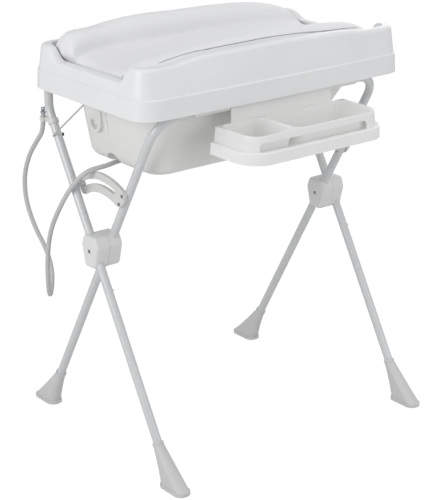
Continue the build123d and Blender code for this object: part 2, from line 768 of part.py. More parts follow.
def end_cutter(side, drop):
    """Bar over one end of the tray: low in the middle, level over both corners."""
    station = 0 if side < 0 else -1
    front_z = front_top[station][1] - drop
    rear_z = rear_top[station][1] - drop
    low = dip_z - drop
    side_y = dip_half_y + dip_slope_y
    far_y = 2 * tray_half_y
    high = tray_top_z + overrun
    level = [(1, 0), (1, 0)]
    edges = [
        Line((-far_y, front_z), (-side_y, front_z)),
        Spline((-side_y, front_z), (-dip_half_y, low), tangents=level),
        Line((-dip_half_y, low), (dip_half_y, low)),
        Spline((dip_half_y, low), (side_y, rear_z), tangents=level),
        Line((side_y, rear_z), (far_y, rear_z)),
        Line((far_y, rear_z), (far_y, high)),
        Line((far_y, high), (-far_y, high)),
        Line((-far_y, high), (-far_y, front_z)),
    ]
    plane = Plane(origin=(side * corner_zone_x, 0, 0), x_dir=(0, 1, 0), z_dir=(1, 0, 0))
    return extrude(plane * make_face(edges), amount=side * tray_half_x)


def wall_cutter(front, drop):
    """Bar over a long wall, gently arched between the two level corners."""
    tops = [(x, z - drop) for x, z in (front_top if front else rear_top)]
    high = tray_top_z + overrun
    right = tops[-1]
    left = tops[0]
    edges = [
        Spline(*tops, tangents=[(1, 0), (1, 0)]),
        Line(right, (right[0], high)),
        Line((right[0], high), (left[0], high)),
        Line((left[0], high), left),
    ]
    plane = Plane(origin=(0, 0, 0), x_dir=(1, 0, 0), z_dir=(0, -1, 0))
    reach = 2 * tray_half_y if front else -2 * tray_half_y
    return extrude(plane * make_face(edges), amount=reach)


def tray_skin(inset, top_z):
    """Outer form of the tray, or the same form inset by its wall."""
    band_in = tray_band_draft + inset
    step_in = band_in + tray_step
    top_in = step_in + tray_wall_draft
    band = loft([tray_outline(inset, tray_bottom_z), tray_outline(band_in, tray_belt_z - tray_step)], ruled=True)
    belt = loft([tray_outline(band_in, tray_belt_z - tray_step), tray_outline(step_in, tray_belt_z)], ruled=True)
    wall = loft([tray_outline(step_in, tray_belt_z), tray_outline(top_in, top_z)], ruled=True)
    return band + belt + wall


def on_rim(edge, inset):
    """True for an edge along the outside of the tops of the walls."""
    middle = edge @ 0.5
    dx = max(abs(middle.X) - tray_half_x + tray_corner_r, 0)
    dy = max(abs(middle.Y) - tray_half_y + tray_corner_r, 0)
    rim_r = tray_corner_r - tray_top_in - inset - tray_rim_w / 2
    return edge.bounding_box().min.Z > dip_z - inset - overrun and math.hypot(dx, dy) > rim_r


def tray_form(inset):
    """The tray's block, cut down to the tops of its walls and rounded."""
    form = tray_skin(inset, tray_top_z)
    form = form - end_cutter(-1, inset) - end_cutter(1, inset)
    form = form - wall_cutter(True, inset) - wall_cutter(False, inset)
    rim = [edge for edge in form.edges() if on_rim(edge, inset)]
    return fillet(rim, tray_edge_r - inset)


tray_top_in = tray_band_draft + tray_step + tray_wall_draft
well_top_half_x = tray_half_x - tray_top_in - tray_end_rim_w
well_top_half_y = tray_half_y - tray_top_in - tray_rim_w
pad_half_x = well_top_half_x - tray_well_draft - pad_side_gap
pad_half_y = well_top_half_y - tray_well_draft - pad_side_gap


def well_outline(grow, z, draft):
    """Plan of the tray's well at a height."""
    half_x = well_top_half_x - draft + grow
    half_y = well_top_half_y - draft + grow
    corner = tray_corner_r - tray_top_in - tray_rim_w / 2 + grow
    return Pos(0, 0, z) * RectangleRounded(2 * half_x, 2 * half_y, corner)


def well(grow, floor_z, top_z):
    """The hollow that holds the pad, or its outer skin."""
    return loft([well_outline(grow, floor_z, tray_well_draft), well_outline(grow, top_z, 0)], ruled=True)


def changer_lugs():
    """Two pairs of lugs under the tray, which take the hinge pins."""
    plane = Plane(origin=(0, 0, 0), x_dir=(0, 1, 0), z_dir=(1, 0, 0))
    front_y = hinge_y - lug_r
    root_y = tray_half_y + lug_embed
    cheek = Pos(hinge_y, hinge_z) * Circle(lug_r)
    web = make_face(Polyline(
        (front_y, hinge_z), (hinge_y, hinge_z - lug_r), (root_y, hinge_z - lug_r),
        (root_y, hinge_z + 3 * lug_r), (front_y, hinge_z + 3 * lug_r), close=True,
    ))
    lugs = []
    for side in (-1, 1):
        for step in (-1, 1):
            inner = knuckle_w / 2 + lug_gap
            middle = side * hinge_x + step * (inner + lug_w / 2)
            lugs.append(Pos(middle - lug_w / 2, 0, 0) * extrude(plane * (cheek + web), amount=lug_w))
    return lugs


def changer_tray():
    """Thin moulded tray: skirt, belt, low ends, well for the pad and hinge lugs."""
    outer = tray_form(0)
    floor_top = tray_floor_z + tray_wall
    hollow = tray_form(tray_wall) - well(tray_wall, tray_floor_z, tray_top_z + overrun)
    skirt = box_between(
        -tray_half_x * 2, tray_half_x * 2, -tray_half_y * 2, tray_half_y * 2, 0, tray_bottom_z,
    )
    tray = outer - hollow - well(0, floor_top, tray_top_z + overrun) - skirt
    for rib_side in (-1, 1):
        rib_x = rib_side * rest_rib_x
        tray = tray + box_between(
            rib_x - rest_rib_t / 2, rib_x + rest_rib_t / 2, -flange_front + flange_t,
            -flange_front + flange_t + rest_rib_l, flange_z + flange_t + seat_gap, floor_top,
        )
    for lug in changer_lugs():
        tray = tray + lug
    for side in (-1, 1):
        tray = tray - cylinder_x(
            side * hinge_x - 2 * lug_w - knuckle_w, side * hinge_x + 2 * lug_w + knuckle_w,
            hinge_y, hinge_z, hinge_pin_d + pin_bore,
        )
    return tray


def hinge_bracket(side):
    """Bracket on the tub's flange with the middle knuckle of a hinge."""
    plane = Plane(origin=(side * hinge_x - knuckle_w / 2, 0, 0), x_dir=(0, 1, 0), z_dir=(1, 0, 0))
    base_z = flange_z + flange_t
    rear_y = flange_rear - seat_gap
    clear_y = flange_rear + seat_gap
    arm = make_face(Polyline(
        (bracket_front_y, base_z), (hinge_y, hinge_z - knuckle_r), (hinge_y, hinge_z + knuckle_r),
        (rear_y - knuckle_r, hinge_z + knuckle_r / 2), (bracket_front_y, base_z + bracket_plate_t),
        close=True,
    ))
    below = make_face(Polyline(
        (bracket_front_y - overrun, tub_floor_z), (clear_y, tub_floor_z), (clear_y, base_z),
        (bracket_front_y - overrun, base_z), close=True,
    ))
    profile = arm + Pos(hinge_y, hinge_z) * Circle(knuckle_r) - below
    web = extrude(plane * profile, amount=knuckle_w)
    plate = box_between(
        side * hinge_x - bracket_half_w, side * hinge_x + bracket_half_w,
        bracket_front_y, rear_y, base_z, base_z + bracket_plate_t,
    )
    bore = cylinder_x(
        side * hinge_x - knuckle_w, side * hinge_x + knuckle_w, hinge_y, hinge_z, hinge_pin_d + pin_bore,
    )
    return web + plate - bore


def bracket_screws(side):
    """Two screw heads on a hinge bracket."""
    top = flange_z + flange_t + bracket_plate_t
    y = (bracket_front_y + flange_rear) / 2
    inset = (bracket_half_w + knuckle_w / 2) / 2
    heads = []
    for step in (-1, 1):
        place = Pos(side * hinge_x + step * inset, y, top + bracket_screw_h / 2)
        head = place * Cylinder(bracket_screw_d / 2, bracket_screw_h)
        heads.append(fillet(head.edges().sort_by(Axis.Z)[-1], bracket_screw_h / 2))
    return heads


def hinge_pin(side):
    """Pin through both lugs and the knuckle, headed at each end."""
    reach = knuckle_w / 2 + lug_gap + lug_w + fit_clearance
    low = side * hinge_x - reach
    high = side * hinge_x + reach
    shank = cylinder_x(low, high, hinge_y, hinge_z, hinge_pin_d)
    left = cylinder_x(low - hinge_pin_head_h, low, hinge_y, hinge_z, hinge_pin_head_d)
    right = cylinder_x(high, high + hinge_pin_head_h, hinge_y, hinge_z, hinge_pin_head_d)
    return shank + left + right


def stay_wire():
    """Wire prop: through the left post, up its outside, and in under the flange."""
    tip_z = flange_z - seat_gap - stay_d / 2
    points = [
        (stay_inner_x, stay_pivot_y, stay_pivot_z),
        (stay_x, stay_pivot_y, stay_pivot_z),
        (stay_top_x, stay_tip_y, tip_z),
        (stay_tip_x, stay_tip_y, tip_z),
    ]
    path = FilletPolyline(*[Vector(*p) for p in points], radius=stay_bend_r)
    return sweep(Plane(origin=path @ 0, z_dir=path % 0) * Circle(stay_d / 2), path=path)


def stay_nut():
    """Cap nut on the inner end of the wire stay."""
    low = -outer_leg_x + tube_d / 2 + seat_gap
    nut = cylinder_x(low, low + stay_nut_h, stay_pivot_y, stay_pivot_z, stay_nut_d)
    nut = fillet(nut.edges().sort_by(Axis.X)[-1], stay_nut_d / 4)
    return nut - cylinder_x(low - overrun, stay_inner_x, stay_pivot_y, stay_pivot_z, stay_d + pin_bore)


def pad_section(x, half_y, crest_z, valley_z, hem_z):
    """Cross-section of the pad: two raised bolsters and a low middle."""
    base_z = tray_floor_z + tray_wall + pad_gap
    crest_y = half_y * pad_crest_share
    foot_y = half_y * pad_valley_share
    foot_z = valley_z + (crest_z - valley_z) * 0.22
    edges = [
        Line((-half_y, base_z), (half_y, base_z)),
        Line((half_y, base_z), (half_y, hem_z)),
        ThreePointArc((half_y, hem_z), (crest_y, crest_z), (foot_y, foot_z)),
        ThreePointArc((foot_y, foot_z), (0, valley_z), (-foot_y, foot_z)),
        ThreePointArc((-foot_y, foot_z), (-crest_y, crest_z), (-half_y, hem_z)),
        Line((-half_y, hem_z), (-half_y, base_z)),
    ]
    plane = Plane(origin=(x, 0, 0), x_dir=(0, 1, 0), z_dir=(1, 0, 0))
    return plane * make_face(edges)


def changer_pad():
    """Contoured pad with bolsters along both long sides and low ends."""
    sections = []
    for share, crest, valley, hem in zip(pad_stations, pad_crest_zs, pad_valley_zs, pad_hem_zs):
        draw = pad_end_draw * abs(share) ** 8
        sections.append(pad_section(share * pad_half_x, pad_half_y - draw, crest, valley, hem))
    return loft(sections)


def shelf_outline(grow, z):
    """Plan of the shelf at a height, flat at the back and round in front."""
    half_x = shelf_half_x + grow
    front = shelf_front_y + grow
    middle = -(front + shelf_back_y) / 2
    face = Pos(shelf_x, middle, z) * Rectangle(2 * half_x, front - shelf_back_y)
    corners = face.vertices().sort_by(Axis.Y)[:2]
    return fillet(corners, shelf_corner_r + grow)


def shelf_bins(grow):
    """Hollows of the two bins, or the same grown by the wall."""
    back_y = -(shelf_back_y + shelf_wall)
    top_front_y = -(shelf_front_y - shelf_rim_w)
    low_front_y = top_front_y + rail_gap
    low_z = shelf_top_z - bin_depth
    spans = (
        (shelf_x - shelf_half_x + shelf_rim_w, divider_x - divider_t / 2),
        (divider_x + divider_t / 2, shelf_x + shelf_half_x - shelf_rim_w),
    )
    bins = []
    for left, right in spans:
        middle = (left + right) / 2
        width = right - left + 2 * grow
        low_y = (low_front_y + back_y - bin_draft) / 2
        low_l = back_y - bin_draft - low_front_y + 2 * grow
        top_y = (top_front_y + back_y) / 2
        top_l = back_y - top_front_y + 2 * grow
        bottom = Pos(middle, low_y, low_z - grow) * RectangleRounded(width - 2 * bin_draft, low_l, bin_corner_r)
        top = Pos(middle, top_y, shelf_top_z) * RectangleRounded(width, top_l, bin_corner_r + bin_draft + grow)
        bins.append(loft([bottom, top], ruled=True))
    return bins


def towel_slot():
    """Long opening in the skirt, above the towel rail and round at its upper corners."""
    height = 2 * (rail_slot_high - shelf_rail_z)
    start_y = -(shelf_front_y - rail_slot_depth)
    plane = Plane(origin=(rail_slot_x, start_y, shelf_rail_z), x_dir=(1, 0, 0), z_dir=(0, -1, 0))
    opening = extrude(plane * RectangleRounded(2 * rail_slot_half_x, height, rail_slot_r), amount=2 * shelf_flare)
    below = box_between(
        rail_slot_x - 2 * rail_slot_half_x, rail_slot_x + 2 * rail_slot_half_x,
        -shelf_front_y - 3 * shelf_flare, -shelf_back_y, 0, shelf_rail_z,
    )
    return opening - below


def shelf_shell(grow):
    """Upper skirt and the prouder rail below it, or the same inset by the wall."""
    low_z = shelf_bottom_z
    top_z = shelf_top_z + grow
    rail_z = shelf_rail_z + grow
    skirt = loft([
        shelf_outline(shelf_skirt_flare + grow, low_z), shelf_outline(grow, top_z),
    ], ruled=True)
    rail = loft([
        shelf_outline(shelf_flare + grow, low_z), shelf_outline(shelf_rail_flare + grow, rail_z),
    ], ruled=True)
    rail_edges = rail.edges().group_by(Axis.Z)[-1].sort_by(Axis.Y)[:-1]
    return skirt + fillet(rail_edges, shelf_rail_r + grow)


def bath_shelf():
    """Moulded shelf: bins, skirt with a towel rail, and a hook-over back."""
    shelf = shelf_shell(0) - shelf_shell(-shelf_wall)
    for skin in shelf_bins(shelf_wall):
        shelf = shelf + skin
    for cavity in shelf_bins(0):
        shelf = shelf - cavity
    panel = box_between(
        panel_x - panel_half_x, panel_x + panel_half_x, -shelf_back_y - panel_t / 2, -shelf_back_y + panel_t / 2,
        shelf_top_z - overrun, panel_top_z,
    )
    hook = box_between(
        panel_x - panel_half_x, panel_x + panel_half_x, -shelf_back_y - panel_t / 2, -shelf_back_y + panel_hook_l,
        flange_z + flange_t + seat_gap, panel_top_z,
    )
    return shelf + panel + hook - towel_slot()


def build():
    """Build and write every node."""
    for side, hand in ((-1, "left"), (1, "right")):
        save(rear_post(side), "rear_post_" + hand)
        save(front_leg(side), "front_leg_" + hand)
        save(foot(side, front_foot_reach, outer_leg_x, True), "front_foot_" + hand)
        save(foot(side, rear_foot_reach, inner_leg_x, False), "rear_foot_" + hand)
        save(hub_cover_shell(side, True), "outer_hub_cover_" + hand)
        save(hub_cover_shell(side, False), "inner_hub_cover_" + hand)
        save(lock_plate(side), "lock_plate_" + hand)
        save(hinge_bracket(side), "hinge_bracket_" + hand)
        save(spring_button(side), "spring_button_" + hand)
        save(pivot_bolt(side), "pivot_bolt_" + hand)
        save(post_cap(side), "post_cap_" + hand)
        save(slot_pin(side), "slot_pin_" + hand)
        save(hinge_pin(side), "hinge_pin_" + hand)
        screws = [plate_screw(side, place) for place in plate_screw_places(side)]
        save(group(*screws), "lock_plate_screws_" + hand)
        save(group(*bracket_screws(side)), "bracket_screws_" + hand)
    save(front_frame_tube(), "front_frame_tube")
    save(bathtub(), "bathtub")
    save(tub_rim(), "tub_rim")
    save(drain_spout(), "drain_spout")
    save(drain_strainer(), "drain_strainer")
    save(drain_hose(), "drain_hose")
    save(hose_clip(), "hose_clip")
    save(hose_stopper(), "hose_stopper")
    save(changer_tray(), "changer_tray")
    save(changer_pad(), "changer_pad")
    save(stay_wire(), "stay_wire")
    save(stay_nut(), "stay_nut")
    save(bath_shelf(), "bath_shelf")
    print(len(node_names), "nodes, legs cross at Y", stand_y)


build()
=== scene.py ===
# %% [markdown]
# # A folding baby bath stand with a changing top
# The stand is two crossed pairs of steel tube legs. They carry a deep moulded tub, a thin
# moulded tray hinged over it with a soft pad, a shelf hooked on the front, and a drain hose.
# The solid model is loaded first and never moved: everything here is added to it, in metres.

# %% Load the solid model
import math
import bpy
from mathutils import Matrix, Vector
from mathutils.bvhtree import BVHTree


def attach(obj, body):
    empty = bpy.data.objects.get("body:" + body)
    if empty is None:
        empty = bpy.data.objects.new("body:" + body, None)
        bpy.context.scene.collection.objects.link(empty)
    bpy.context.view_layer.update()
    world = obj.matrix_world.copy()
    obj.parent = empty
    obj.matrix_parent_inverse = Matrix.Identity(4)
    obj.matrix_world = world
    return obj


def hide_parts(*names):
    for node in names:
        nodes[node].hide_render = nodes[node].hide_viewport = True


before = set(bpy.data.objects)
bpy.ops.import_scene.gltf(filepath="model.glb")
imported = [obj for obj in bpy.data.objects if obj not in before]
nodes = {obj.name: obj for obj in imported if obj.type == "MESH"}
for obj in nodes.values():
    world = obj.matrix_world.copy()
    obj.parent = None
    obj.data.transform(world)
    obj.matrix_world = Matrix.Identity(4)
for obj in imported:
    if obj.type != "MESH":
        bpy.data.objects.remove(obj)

scene = bpy.context.scene
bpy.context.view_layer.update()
print("pieces in the solid model:", len(nodes))

# %% [markdown]
# The legs cross a little behind the middle of the footprint, because the shelf hangs out in
# front. Most places below are written from that crossing point, so a helper turns a place in
# millimetres from there into metres in the model's frame.

# %% A place, from millimetres at the crossing of the legs
STAND_Y = 16.5


def place(x, y, z):
    return Vector((x / 1000, (y + STAND_Y) / 1000, z / 1000))


# %% [markdown]
# The photograph was taken from the front left, a little above the changing top, with a long
# lens. The camera stands on the same spot, so that what it sees can be set against the picture.

# %% The camera
CAMERA_SPOT = place(-2461.2, -3062.4, 1893.2)
CAMERA_TURN = math.radians(-38.78)
CAMERA_TILT = math.radians(90 - 20.20)
FOCAL_PX = 1565.5
PICTURE_LONG_SIDE_PX = 500
SENSOR_MM = 36
FAR_ENOUGH = 30

camera_data = bpy.data.cameras.new("camera")
camera = bpy.data.objects.new("camera", camera_data)
scene.collection.objects.link(camera)
camera.location = CAMERA_SPOT
camera.rotation_euler = (CAMERA_TILT, 0, CAMERA_TURN)
camera_data.sensor_width = SENSOR_MM
camera_data.lens = SENSOR_MM * FOCAL_PX / PICTURE_LONG_SIDE_PX
camera_data.clip_end = FAR_ENOUGH
scene.camera = camera
print("lens", round(camera_data.lens, 1), "mm")

# %% [markdown]
# The drain hose is a free length of soft hose. It leaves the spout under the steep end of the
# tub, falls in front of the left leg, turns in a wide loop and rises again to a clip on the
# post. A NURBS curve is the natural tool: a few points pull a smooth line, with no kinks. Each
# point carries the hose's half width, and the bevel depth is 1, because Blender grows a
# curve's box by the width of its points, and the box should fit the hose.

# %% The drain hose
HOSE_D = 0.012
hose_route = [
    (-275, 15, 753), (-312, 15, 753), (-352, 14, 747), (-397, 34, 738), (-421, 68, 693),
    (-434, 104, 632), (-441, 141, 562), (-443, 157, 484), (-442, 160, 411), (-424, 183, 363),
    (-388, 228, 360), (-366, 256, 402), (-372, 274, 460), (-387, 303, 516), (-396, 326, 584),
    (-401, 322, 654), (-403, 290, 720), (-405, 246, 768), (-405, 210, 806), (-405, 210, 850),
]
hose_curve = bpy.data.curves.new("hose", "CURVE")
hose_curve.dimensions = "3D"
hose_line = hose_curve.splines.new("NURBS")
hose_line.points.add(len(hose_route) - 1)
for point, spot in zip(hose_line.points, hose_route):
    point.co = (*place(*spot), 1)
    point.radius = HOSE_D / 2
hose_line.order_u = 3
hose_line.use_endpoint_u = True
hose_curve.resolution_u = 10
hose_curve.bevel_depth = 1
hose_curve.bevel_resolution = 6
hose_curve.use_fill_caps = True
hose = bpy.data.objects.new("hose", hose_curve)
scene.collection.objects.link(hose)
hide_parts("drain_hose")
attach(hose, "rear_frame")

# %% [markdown]
# Two helpers come first. Materials all start from the same surface shader, and every operator
# acts on what is selected, so each step begins with nothing selected.


# %% Helpers for materials and selection
def shader(name):
    """A new material with its nodes and its surface shader."""
    material = bpy.data.materials.new(name)
    material.use_nodes = True
    tree = material.node_tree
    return material, tree, tree.nodes["Principled BSDF"]


def deselect_all():
    """Leaves edit mode and selects nothing."""
    if bpy.context.object and bpy.context.object.mode != "OBJECT":
        bpy.ops.object.mode_set(mode="OBJECT")
    bpy.ops.object.select_all(action="DESELECT")


# %% [markdown]
# The floor is white to the camera and still takes a soft shadow. A mix of two shaders does
# it: most of what the camera sees is a plain white glow, and all other rays meet a matt floor
# that throws only a little light back up at the object.

# %% The floor
FLOOR_SIZE = 12
FLOOR_DROP = 0.0005
FLOOR_GLOW = 1.08
GLOW_SHARE = 0.9
deselect_all()
bpy.ops.mesh.primitive_plane_add(size=FLOOR_SIZE, location=(0, 0, -FLOOR_DROP))
floor = bpy.context.object
floor.name = "studio_floor"
floor_material, tree, bsdf = shader("studio_floor")
bsdf.inputs["Base Color"].default_value = (0.72, 0.72, 0.72, 1)
bsdf.inputs["Roughness"].default_value = 0.9
glow = tree.nodes.new("ShaderNodeEmission")
glow.inputs["Color"].default_value = (1, 1, 1, 1)
glow.inputs["Strength"].default_value = FLOOR_GLOW
share = tree.nodes.new("ShaderNodeMixShader")
seen = tree.nodes.new("ShaderNodeLightPath")
soften = tree.nodes.new("ShaderNodeMath")
soften.operation = "MULTIPLY"
soften.inputs[1].default_value = GLOW_SHARE
tree.links.new(seen.outputs["Is Camera Ray"], soften.inputs[0])
tree.links.new(soften.outputs[0], share.inputs["Fac"])
tree.links.new(bsdf.outputs["BSDF"], share.inputs[1])
tree.links.new(glow.outputs["Emission"], share.inputs[2])
tree.links.new(share.outputs["Shader"], tree.nodes["Material Output"].inputs["Surface"])
floor.data.materials.append(floor_material)
print("floor", FLOOR_SIZE, "m across")

# %% [markdown]
# The world is treated the same way: pure white behind the object, and about half as strong as
# a light, so that the pale pieces keep their shading.

# %% The world
WORLD_LIGHT = 0.53
world = bpy.data.worlds.new("studio")
scene.world = world
world.use_nodes = True
sky = world.node_tree
plain = sky.nodes["Background"]
plain.inputs["Color"].default_value = (0.98, 0.985, 1.0, 1)
plain.inputs["Strength"].default_value = WORLD_LIGHT
white = sky.nodes.new("ShaderNodeBackground")
white.inputs["Color"].default_value = (1, 1, 1, 1)
white.inputs["Strength"].default_value = 1.0
either = sky.nodes.new("ShaderNodeMixShader")
ray = sky.nodes.new("ShaderNodeLightPath")
sky.links.new(ray.outputs["Is Camera Ray"], either.inputs["Fac"])
sky.links.new(plain.outputs["Background"], either.inputs[1])
sky.links.new(white.outputs["Background"], either.inputs[2])
sky.links.new(either.outputs["Shader"], sky.nodes["World Output"].inputs["Surface"])
print("world light", WORLD_LIGHT)

# %% [markdown]
# The left end of the real picture is brightest and the front a little darker, so the main
# lamp stands to the left. All lamps are large, which keeps every edge soft but readable.


# %% The lamps
def softbox(name, spot, aim, size, watts):
    """A large area lamp at a spot, turned to face a point."""
    lamp_data = bpy.data.lights.new(name, "AREA")
    lamp_data.shape = "SQUARE"
    lamp_data.size = size
    lamp_data.energy = watts
    lamp = bpy.data.objects.new(name, lamp_data)
    scene.collection.objects.link(lamp)
    lamp.location = spot
    lamp.rotation_euler = (Vector(aim) - Vector(spot)).to_track_quat("-Z", "Y").to_euler()


MIDDLE = (0, 0, 0.7)
for lamp_name, lamp_spot, lamp_size, lamp_watts in [
    ("lamp_above", (0.6, -0.6, 3.4), 2.4, 20),
    ("lamp_front", (1.2, -3.6, 1.5), 2.0, 27),
    ("lamp_left", (-3.6, -0.2, 1.9), 2.0, 54),
    ("lamp_right", (3.0, 1.6, 2.0), 2.0, 14),
]:
    softbox(lamp_name, lamp_spot, MIDDLE, lamp_size, lamp_watts)
    print(lamp_name, lamp_watts, "W")
scene.view_settings.view_transform = "Standard"

# %% [markdown]
# Nearly everything is white, so the finishes have to differ in their gloss and grain. Moulded
# plastic has a very fine spark-eroded grain, a faint cloudiness and an uneven gloss; painted
# tube is smoother and shinier. Both are built the same way: noise in object space drives the
# bump and the roughness, and a slower noise adds the gentle wave of a large moulding.

# %% A finish with fine grain
PLASTIC_IOR = 1.46
COAT_ROUGHNESS = 0.12
GLOSS_SPREAD = (0.9, 1.12)
GRAIN_STRENGTH = 0.35
WAVE_STRENGTH = 0.5
CLOUD_SCALE = 7  # clouds to the metre


def grainy(name, colour, roughness, grain_mm, grain_depth, cloud=0.03, coat=0.0, wave=0.0):
    """A pale finish with fine grain, a slow wave, and slightly uneven colour and gloss."""
    material, tree, bsdf = shader(name)
    links = tree.links
    spot = tree.nodes.new("ShaderNodeTexCoord")
    fine = tree.nodes.new("ShaderNodeTexNoise")
    fine.inputs["Scale"].default_value = 1000 / grain_mm
    fine.inputs["Detail"].default_value = 3
    links.new(spot.outputs["Object"], fine.inputs["Vector"])
    slow = tree.nodes.new("ShaderNodeTexNoise")
    slow.inputs["Scale"].default_value = CLOUD_SCALE
    slow.inputs["Detail"].default_value = 4
    links.new(spot.outputs["Object"], slow.inputs["Vector"])
    tint = tree.nodes.new("ShaderNodeValToRGB")
    low, high = tint.color_ramp.elements
    low.position, high.position = 0.3, 0.7
    low.color = tuple(c * (1 - cloud) for c in colour) + (1,)
    high.color = tuple(colour) + (1,)
    links.new(slow.outputs["Fac"], tint.inputs["Fac"])
    links.new(tint.outputs["Color"], bsdf.inputs["Base Color"])
    gloss = tree.nodes.new("ShaderNodeMapRange")
    gloss.inputs["To Min"].default_value = roughness * GLOSS_SPREAD[0]
    gloss.inputs["To Max"].default_value = roughness * GLOSS_SPREAD[1]
    links.new(slow.outputs["Fac"], gloss.inputs["Value"])
    links.new(gloss.outputs["Result"], bsdf.inputs["Roughness"])
    bump = tree.nodes.new("ShaderNodeBump")
    bump.inputs["Strength"].default_value = GRAIN_STRENGTH
    bump.inputs["Distance"].default_value = grain_depth / 1000
    links.new(fine.outputs["Fac"], bump.inputs["Height"])
    if wave:
        ripple = tree.nodes.new("ShaderNodeBump")
        ripple.inputs["Strength"].default_value = WAVE_STRENGTH
        ripple.inputs["Distance"].default_value = wave / 1000
        links.new(slow.outputs["Fac"], ripple.inputs["Height"])
        links.new(ripple.outputs["Normal"], bump.inputs["Normal"])
    links.new(bump.outputs["Normal"], bsdf.inputs["Normal"])
    bsdf.inputs["IOR"].default_value = PLASTIC_IOR
    bsdf.inputs["Coat Weight"].default_value = coat
    bsdf.inputs["Coat Roughness"].default_value = COAT_ROUGHNESS
    return material


# %% [markdown]
# The tray is a little cooler than the warm white of the tub. The shelf is thin and lets some
# light through, so it alone has a share of subsurface light.

# %% The plastics and paints
tray_white = grainy("tray_white", (0.81, 0.815, 0.82), 0.34, 0.9, 0.05, coat=0.15, wave=0.25)
tub_white = grainy("tub_white", (0.79, 0.79, 0.77), 0.40, 1.0, 0.06, coat=0.1, wave=0.3)
shelf_white = grainy("shelf_white", (0.88, 0.88, 0.865), 0.33, 0.9, 0.05, coat=0.15, wave=0.2)
shelf_shader = shelf_white.node_tree.nodes["Principled BSDF"]
shelf_shader.inputs["Subsurface Weight"].default_value = 0.35
shelf_shader.inputs["Subsurface Radius"].default_value = (1.0, 0.98, 0.94)
shelf_shader.inputs["Subsurface Scale"].default_value = 0.012
boot_white = grainy("boot_white", (0.62, 0.62, 0.62), 0.46, 0.8, 0.08)
hub_white = grainy("hub_white", (0.74, 0.74, 0.735), 0.45, 0.8, 0.08)
plate_white = grainy("plate_white", (0.68, 0.68, 0.665), 0.42, 0.8, 0.06)
tube_paint = grainy("tube_paint", (0.64, 0.65, 0.66), 0.26, 3.0, 0.04, cloud=0.05, coat=0.6)
drain_grey = grainy("drain_grey", (0.52, 0.53, 0.55), 0.45, 0.7, 0.06)
hose_grey = grainy("hose_grey", (0.55, 0.55, 0.555), 0.38, 2.0, 0.10, cloud=0.08)
stopper_grey = grainy("stopper_grey", (0.42, 0.44, 0.47), 0.5, 0.8, 0.06)
cap_black = grainy("cap_black", (0.02, 0.02, 0.022), 0.4, 0.8, 0.04)
piping_grey = grainy("piping", (0.36, 0.37, 0.39), 0.5, 0.6, 0.05, cloud=0.12)
print("materials so far:", len(bpy.data.materials))

# %% [markdown]
# Bolts, pins, buttons and the wire stay are bare metal. Turned and drawn steel has fine
# scratches round or along it; a stretched noise in the roughness is enough at this size.

# %% Finishes of bare metal
SCRATCH_GRAIN = (60, 900, 900)
SCRATCH_SPREAD = (0.75, 1.3)
SCRATCH_STRENGTH, SCRATCH_DEPTH = 0.2, 0.00003


def bare_metal(name, colour, roughness):
    """Metal with faint stretched scratches in its gloss."""
    material, tree, bsdf = shader(name)
    links = tree.links
    spot = tree.nodes.new("ShaderNodeTexCoord")
    stretch = tree.nodes.new("ShaderNodeMapping")
    stretch.inputs["Scale"].default_value = SCRATCH_GRAIN
    links.new(spot.outputs["Object"], stretch.inputs["Vector"])
    streak = tree.nodes.new("ShaderNodeTexNoise")
    streak.inputs["Scale"].default_value = 1
    streak.inputs["Detail"].default_value = 3
    links.new(stretch.outputs["Vector"], streak.inputs["Vector"])
    gloss = tree.nodes.new("ShaderNodeMapRange")
    gloss.inputs["To Min"].default_value = roughness * SCRATCH_SPREAD[0]
    gloss.inputs["To Max"].default_value = roughness * SCRATCH_SPREAD[1]
    links.new(streak.outputs["Fac"], gloss.inputs["Value"])
    links.new(gloss.outputs["Result"], bsdf.inputs["Roughness"])
    bump = tree.nodes.new("ShaderNodeBump")
    bump.inputs["Strength"].default_value = SCRATCH_STRENGTH
    bump.inputs["Distance"].default_value = SCRATCH_DEPTH
    links.new(streak.outputs["Fac"], bump.inputs["Height"])
    links.new(bump.outputs["Normal"], bsdf.inputs["Normal"])
    bsdf.inputs["Base Color"].default_value = tuple(colour) + (1,)
    bsdf.inputs["Metallic"].default_value = 1.0
    return material


dark_zinc = bare_metal("dark_zinc", (0.30, 0.30, 0.31), 0.35)
bright_zinc = bare_metal("bright_zinc", (0.62, 0.62, 0.63), 0.3)
polished = bare_metal("polished", (0.75, 0.76, 0.77), 0.15)
wire_steel = bare_metal("wire_steel", (0.68, 0.69, 0.70), 0.28)
print("materials so far:", len(bpy.data.materials))

# %% [markdown]
# Each solid keeps its shape and gets its finish by the start of its name. The longest match
# wins, so that the screws of a lock plate aren't taken for the plate.

# %% Finishes on the solids
finish_of = {
    "rear_post": tube_paint, "front_leg": tube_paint, "front_frame_tube": tube_paint,
    "front_foot": boot_white, "rear_foot": boot_white, "post_cap": boot_white,
    "outer_hub_cover": hub_white, "inner_hub_cover": hub_white,
    "lock_plate": plate_white, "lock_plate_screws": dark_zinc, "slot_pin": plate_white,
    "pivot_bolt": dark_zinc, "spring_button": polished, "bracket_screws": bright_zinc,
    "hinge_pin": bright_zinc, "hinge_bracket": hub_white,
    "bathtub": tub_white, "tub_rim": tub_white,
    "drain_spout": drain_grey, "drain_strainer": polished, "hose_clip": plate_white,
    "hose_stopper": stopper_grey, "changer_tray": tray_white, "stay_wire": wire_steel,
    "stay_nut": cap_black, "bath_shelf": shelf_white,
}
for name, piece in nodes.items():
    stems = [stem for stem in finish_of if name.startswith(stem)]
    if not stems:
        print("no finish for", name)
        continue
    finish = finish_of[max(stems, key=len)]
    piece.data.materials.clear()
    piece.data.materials.append(finish)
hose_curve.materials.append(hose_grey)
print("finishes:", len(set(finish_of.values())))

